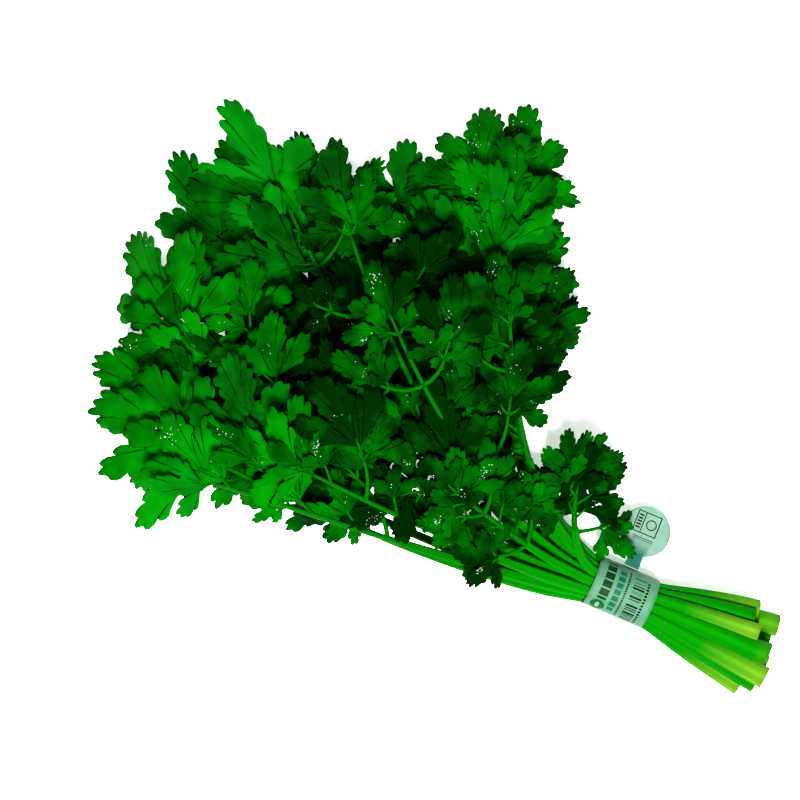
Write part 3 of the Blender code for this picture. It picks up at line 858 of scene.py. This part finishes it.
def leaf_pieces(leaf):
    """The blades of one leaf as one piece, and its ribs as another."""
    draw = random.Random(LEAFLET_SEED + leaf.number)
    stalks = []
    blades = []
    for spray in leaf.sprays():
        foot, line = stalk_line(leaf, spray)
        stalks.append((line, thinning(SIDE_STALK_RADII, len(line))))
        heading = leaf.heading(spray["along"]) + spray["points_at"]
        blades += spray_leaflets(leaf, foot, heading, spray["size"], spray["extra"], draw, stalks)
    low_down = leaf.level_share < 0.5
    for place in LOW_PLACES if low_down else LONE_PLACES:
        for side, spread in ((-1, leaf.spread_right), (1, leaf.spread_left)):
            along = leaf.blade_start + leaf.blade * place * draw.uniform(0.9, 1.1)
            start = leaf.raised(leaf.place(along)) + TIE
            if spread == 0 or (in_heart(start) > 0.2 and not low_down):
                continue
            turn = side * radians(draw.uniform(42, 75)) * min(spread, 1.0)
            heading = leaf.heading(along) + turn
            stalk = heading_vector(heading) * draw.uniform(0.004, 0.009)
            foot = leaf.raised(leaf.place(along) + stalk) + TIE
            length = max(leaf.blade * (0.25 if low_down else 0.18), SMALLEST_LEAFLET)
            length *= draw.uniform(0.76, 1.12) * (1 + 0.4 * in_heart(start))
            blade = settle_leaflet(foot, heading, length, draw.uniform(-0.35, 0.25), draw)
            blades.append(blade)
            stalks.append(([start, foot, blade.place(0.12, 0)], LONE_STALK_RADII))
    end = leaf.blade_start + leaf.blade * RACHIS_SHARE
    tip_extra = LIFT_STEPS[-1]
    line = []
    for step in range(RACHIS_STEPS + 1):
        share = step / RACHIS_STEPS
        place = leaf.place(leaf.blade_start + (end - leaf.blade_start) * share)
        line.append(leaf.raised(place, tip_extra * smooth(share * 2 - 1)) + TIE)
    stalks.append((line, thinning(RACHIS_RADII, len(line))))
    size = leaf.blade * (1 - RACHIS_SHARE) * draw.uniform(1.2, 1.3)
    blades += spray_leaflets(leaf, leaf.place(end), leaf.heading(end), size, tip_extra,
                             draw, stalks)

    bm = bmesh.new()
    for blade in blades:
        # each leaflet's tone: painted light and shade by where its foot lies, plus a random part
        add_leaflet(bm, blade, draw, painted_light_and_shade(blade.foot) + draw.uniform(-0.18, 0.22))
    piece = finished_mesh(bm, f"blades_{leaf.name}", [upper_skin, under_skin])
    body = piece.modifiers.new("blade thickness", "SOLIDIFY")
    body.thickness = BLADE_THICKNESS
    body.offset = -1.0
    body.material_offset = 1
    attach(piece, "root")
    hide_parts(f"leaf_{leaf.name}")

    bm = bmesh.new()
    for points, radii in stalks:
        for point, radius in zip(points, radii):
            point.z = max(point.z, radius * OFF_TABLE)
        rings = lay_tube(bm, points, radii, [RIB_GREEN_AS_AT] * len(points), RIB_TONE)
        close_end(bm, rings[0])
        close_end(bm, rings[-1])
    ribs = finished_mesh(bm, f"ribs_{leaf.name}", [midrib_skin])
    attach(ribs, "root")
    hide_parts(f"leaf_{leaf.name}")
    return blades


# the top leaves settle first, and the others find room below them
all_blades = []
for leaf in reversed(leaves):
    all_blades += leaf_pieces(leaf)

# ------------------------------------------------------------ strap label
# A die-cut strap of thin translucent film: round the stems, its narrow neck
# pushed out through its own slot, and its round head lying beside the bunch.
# Plain marks stand where a strap carries its print.

# how far round the stems its parts are, from +Y over the top
SLOT_END = radians(206)
SLOT_END_WIDENS_OVER = radians(45)
SLOT = radians(176)
NECK_FROM = radians(-118)
NECK_OVER = radians(52)
NECK_END = radians(-178)
LAP_SINKS_OVER = radians(150)  # the slot end lies on top of the rest
QUARTER = radians(90)
SLOT_SHARE = 0.3  # of the strap's width
SLOT_END_SHARE = 0.62  # likewise: the end beyond the slot
SLOT_HALF_SIZE = (0.0006, 0.0013)  # in y and z
NECK_HALF_WIDTH = 0.0034
NECK_BEND_RADIUS = 0.0018
HEAD_SAG = radians(6)
HEAD_TIP_HALF_WIDTH = 0.0006
WOUND_STEPS, BEND_STEPS, HEAD_STEPS = 96, 10, 40
FILM_THICKNESS = 0.00022


def strap_profile():
    """Side view of the strap from its slot end: the angle turned, y and z."""
    points = []
    for i in range(WOUND_STEPS + 1):
        turn = SLOT_END + (NECK_END - SLOT_END) * i / WOUND_STEPS
        sunk = smooth((SLOT_END - turn) / LAP_SINKS_OVER)
        radius = STRAP_RADIUS + STRAP_LAP * (1 - sunk)
        points.append((turn, radius * cos(turn), TIE_HEIGHT + radius * sin(turn)))
    # the neck bends out over the slot's edge
    turn, y, z = points[-1]
    heading = QUARTER
    bend = (QUARTER + HEAD_SAG) / BEND_STEPS
    for _ in range(BEND_STEPS):
        heading += bend
        y += NECK_BEND_RADIUS * bend * cos(heading)
        z += NECK_BEND_RADIUS * bend * sin(heading)
        points.append((turn, y, z))
    # and the head runs on from it, nearly level
    start_y, start_z = y, z
    run = HEAD_MIDDLE_Y - HEAD_RADIUS - start_y
    for i in range(HEAD_STEPS):
        y = start_y + run * sin(QUARTER * (i + 1) / HEAD_STEPS)
        points.append((turn, y, start_z + (y - start_y) * tan(HEAD_SAG)))
    return points


def strap_half_width(turn, y):
    """Half the width of the strap: tapered ends, a narrow neck, a round head."""
    if y < HEAD_MIDDLE_Y + HEAD_RADIUS:
        across = sqrt(max(HEAD_RADIUS**2 - (y - HEAD_MIDDLE_Y) ** 2, 0.0))
        return max(across, NECK_HALF_WIDTH if y > HEAD_MIDDLE_Y else HEAD_TIP_HALF_WIDTH)
    widened = smooth((SLOT_END - turn) / SLOT_END_WIDENS_OVER)
    band = STRAP_HALF_WIDTH * (SLOT_END_SHARE + (1 - SLOT_END_SHARE) * widened)
    necking = smooth((NECK_FROM - turn) / NECK_OVER)
    return band * (1 - necking) + NECK_HALF_WIDTH * necking


# The print, in the order it is laid down: how a mark is shaped, its ink, its
# middle and half its size in mm along and across the strap, and for a broken
# mark the step along the strap and the share of each step that is inked.
TEAL_INK, GREEN_INK, BLACK_INK = "#0A4234", "#02240C", "#010402"
DISC_INK, PALE_INK = "#02391D", "#4E755E"
PRINT = (
    ("wash", TEAL_INK, (77.0, 0.0), (9.5, 3.6), 0, 0),
    ("block", TEAL_INK, (22.5, 2.6), (11.0, 1.5), 3.1, 0.78),
    ("block", GREEN_INK, (19.5, 8.0), (9.4, 2.1), 3.9, 0.80),
    ("round", DISC_INK, (33.0, 8.4), (3.3, 3.3), 0, 0),
    ("round", PALE_INK, (33.0, 8.4), (2.0, 0.9), 0, 0),
    ("block", BLACK_INK, (23.0, -0.6), (12.0, 0.45), 1.1, 0.66),
    ("bars", BLACK_INK, (25.0, -5.6), (11.5, 2.7), 0, 0),
    ("block", BLACK_INK, (25.0, -9.6), (11.5, 0.6), 1.5, 0.60),
    ("frame", BLACK_INK, (97.2, 0.6), (4.9, 5.6), 0, 0),
    ("block", BLACK_INK, (97.2, 2.4), (4.9, 0.2), 0, 0),
    ("block", BLACK_INK, (97.2, 4.2), (3.8, 1.1), 1.4, 0.55),
    ("ring", BLACK_INK, (97.2, -1.4), (2.4, 2.4), 0, 0),
    ("bars", BLACK_INK, (89.6, 0.0), (1.1, 4.8), 0, 0),
)


def film_material():
    """Polypropylene film, 0.2 mm, printed: milky, satin, green with what it wraps.

    U runs in millimetres along the strap from its slot end and V across it.
    """
    made, tree, shader = start_material("milky polypropylene film, printed", {
        "Roughness": 0.55, "IOR": 1.49, "Specular IOR Level": 0.08})
    flat = add_node(tree, "UVMap", {"uv_map": "strap"}, {})
    parts = add_node(tree, "SeparateXYZ", {}, {0: flat})
    # clouding about 7 mm across
    cloud = add_node(tree, "TexNoise", {"Scale": 0.15, "Detail": 2.0}, {0: flat})
    # green where the film wraps the stems, and milkier in the head, clear of them
    over_stems = add_node(tree, "Mix", {"data_type": "RGBA", 6: linear_colour("#30553E"),
                                        7: linear_colour("#456B53")}, {0: cloud})
    clear = add_node(tree, "Mix", {"data_type": "RGBA", 6: linear_colour("#466253"),
                                   7: linear_colour("#5E7A6D")}, {0: cloud})
    in_head = add_node(tree, "MapRange", {1: 78.0, 2: 86.0}, {0: parts})
    painted = add_node(tree, "Mix", {"data_type": "RGBA"},
                       {0: in_head, 6: over_stems.outputs[2], 7: clear.outputs[2]})
    # irregular bars, about 0.9 to 2 mm apart
    squeezed = add_node(tree, "Mapping", {3: (1.0, 0.0, 0.0)}, {0: flat})
    strokes = add_node(tree, "TexNoise", {"Scale": 1.0, "Detail": 1.0}, {0: squeezed})
    for shape, ink, middle, half, step, inked in PRINT:
        offset = add_node(tree, "VectorMath", {"operation": "SUBTRACT", 1: (*middle, 0.0)},
                          {0: flat})
        scaled = add_node(tree, "VectorMath", {"operation": "DIVIDE", 1: (*half, 1.0)},
                          {0: offset})
        if shape in ("ring", "round"):
            reach = add_node(tree, "VectorMath", {"operation": "LENGTH"},
                             {0: scaled}).outputs["Value"]
        else:
            sized = add_node(tree, "VectorMath", {"operation": "ABSOLUTE"}, {0: scaled})
            sides = add_node(tree, "SeparateXYZ", {}, {0: sized})
            reach = add_node(tree, "Math", {"operation": "MAXIMUM"},
                             {0: sides, 1: sides.outputs[1]})
        if shape in ("ring", "frame"):
            line = 0.10 if shape == "ring" else 0.045
            mask = add_node(tree, "Math", {"operation": "COMPARE", 1: 1 - line, 2: line},
                            {0: reach})
        else:
            soft = 0.35 if shape == "wash" else 0.02
            mask = add_node(tree, "MapRange", {1: 1 - soft, 2: 1 + soft, 3: 1.0, 4: 0.0},
                            {0: reach})
        if shape == "bars":
            stroke = add_node(tree, "MapRange", {1: 0.50, 2: 0.53}, {0: strokes})
            mask = add_node(tree, "Math", {"operation": "MULTIPLY"}, {0: mask, 1: stroke})
        if step:
            swing = add_node(tree, "Math", {"operation": "PINGPONG", 1: step / 2}, {0: parts})
            edge = step / 2 * (1 - inked)
            dash = add_node(tree, "MapRange", {1: edge - 0.04, 2: edge + 0.04}, {0: swing})
            mask = add_node(tree, "Math", {"operation": "MULTIPLY"}, {0: mask, 1: dash})
        painted = add_node(tree, "Mix", {"data_type": "RGBA", 7: linear_colour(ink)},
                           {0: mask, 6: painted.outputs[2]})
    # fine rolling marks, drawn coarse at 0.8 mm
    grain = add_node(tree, "TexNoise", {"Scale": 1.2, "Detail": 2.0}, {0: flat})
    bump = add_node(tree, "Bump", {"Strength": 0.08, "Distance": 0.0002}, {"Height": grain})
    feed(tree, shader, {"Base Color": painted.outputs[2], "Normal": bump})
    return made


def strap_piece():
    """The strap as one bent sheet, with its slot left open."""
    profile = strap_profile()
    columns = (-1.0, -0.85, -0.66, -0.48, -SLOT_SHARE, -0.12,
               0.12, SLOT_SHARE, 0.48, 0.66, 0.85, 1.0)
    millimetres = [0.0]
    for (_, y, z), (_, next_y, next_z) in zip(profile, profile[1:]):
        millimetres.append(millimetres[-1] + hypot(next_y - y, next_z - z) * 1000)

    def place(column, row):
        turn, y, z = profile[row]
        x = columns[column] * strap_half_width(turn, y)
        return Vector((x, y, z)) + TIE, (millimetres[row], x * 1000)

    bm = bmesh.new()
    lay_grid(bm, len(columns) - 1, len(profile) - 1, "strap", place)
    slot_y = (STRAP_RADIUS + STRAP_LAP) * cos(SLOT)
    slot_z = TIE_HEIGHT + (STRAP_RADIUS + STRAP_LAP) * sin(SLOT)
    slot_half = (SLOT_SHARE * STRAP_HALF_WIDTH, *SLOT_HALF_SIZE)
    slot = []
    for face in bm.faces:
        off = face.calc_center_median() - TIE - Vector((0, slot_y, slot_z))
        if all(abs(part) < half for part, half in zip(off, slot_half)):
            slot.append(face)
    bmesh.ops.delete(bm, geom=slot, context="FACES_ONLY")
    piece = finished_mesh(bm, "strap_label", [film_material()])
    body = piece.modifiers.new("film thickness", "SOLIDIFY")
    body.thickness = FILM_THICKNESS
    body.offset = 0.0
    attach(piece, "root")
    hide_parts("tie_label")


strap_piece()

# ------------------------------------------------------------ water drops
# Clear water from a rinse, in beads of a quarter to half a millimetre.  The wax
# of the leaf keeps them round, and they cling to its upper side in clusters.

DROPS_ON_LEAFLET = (0, 0, 1, 3, 8, 20)
DROP_RADII = (0.00012, 0.00015, 0.00019, 0.00026)


def water_with_painted_glints():
    """Water: gloss and refraction, and a white base showing through its 0.7 transmission, a
    painted glint that makes the beads bright points.
    """
    made, _, _ = start_material("water", {
        # the white base under partial transmission is a painted glint
        "Base Color": linear_colour("#FFFFFF"), "Roughness": 0.02, "IOR": 1.333,
        "Transmission Weight": 0.7})
    return made


def drops_piece():
    """All drops as one piece: beads copied from one sphere, sat on the blades."""
    draw = random.Random(77)
    bm = bmesh.new()
    bmesh.ops.create_uvsphere(bm, u_segments=8, v_segments=5, radius=1.0)
    bead = bpy.data.meshes.new("bead")
    bm.to_mesh(bead)
    bm.clear()
    for blade in all_blades:
        ahead, side, up = blade.frame
        turn = Matrix((ahead, side, up)).transposed().to_4x4()
        wet_x, wet_y = draw.uniform(0.3, 0.75), draw.uniform(-0.16, 0.16)
        for _ in range(draw.choice(DROPS_ON_LEAFLET)):
            x, y = draw.gauss(wet_x, 0.10), draw.gauss(wet_y, 0.07)
            # none on a blade that stands on edge, and none beyond its margin
            if up.z < 0.3 or abs(y) > 0.25 * x + 0.04 or not 0.15 < x < 0.9:
                continue
            size = draw.choice(DROP_RADII)
            flat = Matrix.Diagonal((size * draw.uniform(0.9, 1.3), size, size * 0.6, 1.0))
            one = bead.copy()
            one.transform(Matrix.Translation(blade.place(x, y) + up * size * 0.2) @ turn @ flat)
            bm.from_mesh(one)
            bpy.data.meshes.remove(one)
    for face in bm.faces:
        face.smooth = True
    piece = finished_mesh(bm, "water_drops", [water_with_painted_glints()])
    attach(piece, "root")


drops_piece()

# ------------------------------------------------- table, light and camera
# A white laminate table top that the bunch lies on, under one round lamp with a
# weak one opposite, in a white room.  The camera looks straight down.

TABLE_HALF_SIZE = 20.0
UNDER_BUNCH = 0.0002  # the gap between the table and what lies on it


def table_top():
    """White laminate: matt, with a little light of its own that keeps shadows pale."""
    made, _, _ = start_material("white laminate table", {
        "Base Color": linear_colour("#F7F7F4"), "Roughness": 0.6,
        "Emission Color": linear_colour("#F4FFF6"), "Emission Strength": 0.40})
    bm = bmesh.new()
    bmesh.ops.create_grid(bm, x_segments=1, y_segments=1, size=TABLE_HALF_SIZE)
    bmesh.ops.translate(bm, verts=bm.verts, vec=(0, 0, -UNDER_BUNCH))
    piece = finished_mesh(bm, "table_top", [made])


def soft_light(name, place, size, power):
    """A round white lamp aimed at the bunch: its size in metres, its power in watts."""
    data = bpy.data.lights.new(name, "AREA")
    data.shape = "DISK"
    data.size = size
    data.energy = power
    lamp = bpy.data.objects.new(name, data)
    lamp.location = place
    lamp.rotation_euler = (-Vector(place)).to_track_quat("-Z", "Y").to_euler()
    bpy.context.scene.collection.objects.link(lamp)


table_top()
soft_light("key", (-0.15, 0.40, 1.35), 0.35, 66)
soft_light("fill", (0.9, -0.8, 1.1), 1.2, 8)
world = bpy.data.worlds.new("white room")
world.use_nodes = True
background = world.node_tree.nodes["Background"]
background.inputs["Color"].default_value = linear_colour("#FFFFFF")
background.inputs["Strength"].default_value = 0.44
bpy.context.scene.world = world
bpy.context.scene.view_settings.view_transform = "Standard"
bpy.context.scene.view_settings.look = "Medium High Contrast"

FIELD = 0.360  # width of table that the camera sees
VIEW_MIDDLE = TIE + Vector((0.1233, -0.0405, 0.0))
VIEW_TURN = radians(203)  # the cut ends come to the lower right
lens = bpy.data.cameras.new("camera")
lens.lens = 85.0
lens.sensor_width = 36.0
camera = bpy.data.objects.new("camera", lens)
camera.location = VIEW_MIDDLE + Vector((0, 0, FIELD * lens.lens / lens.sensor_width))
camera.rotation_euler = (0, 0, VIEW_TURN)
bpy.context.scene.collection.objects.link(camera)
bpy.context.scene.camera = camera
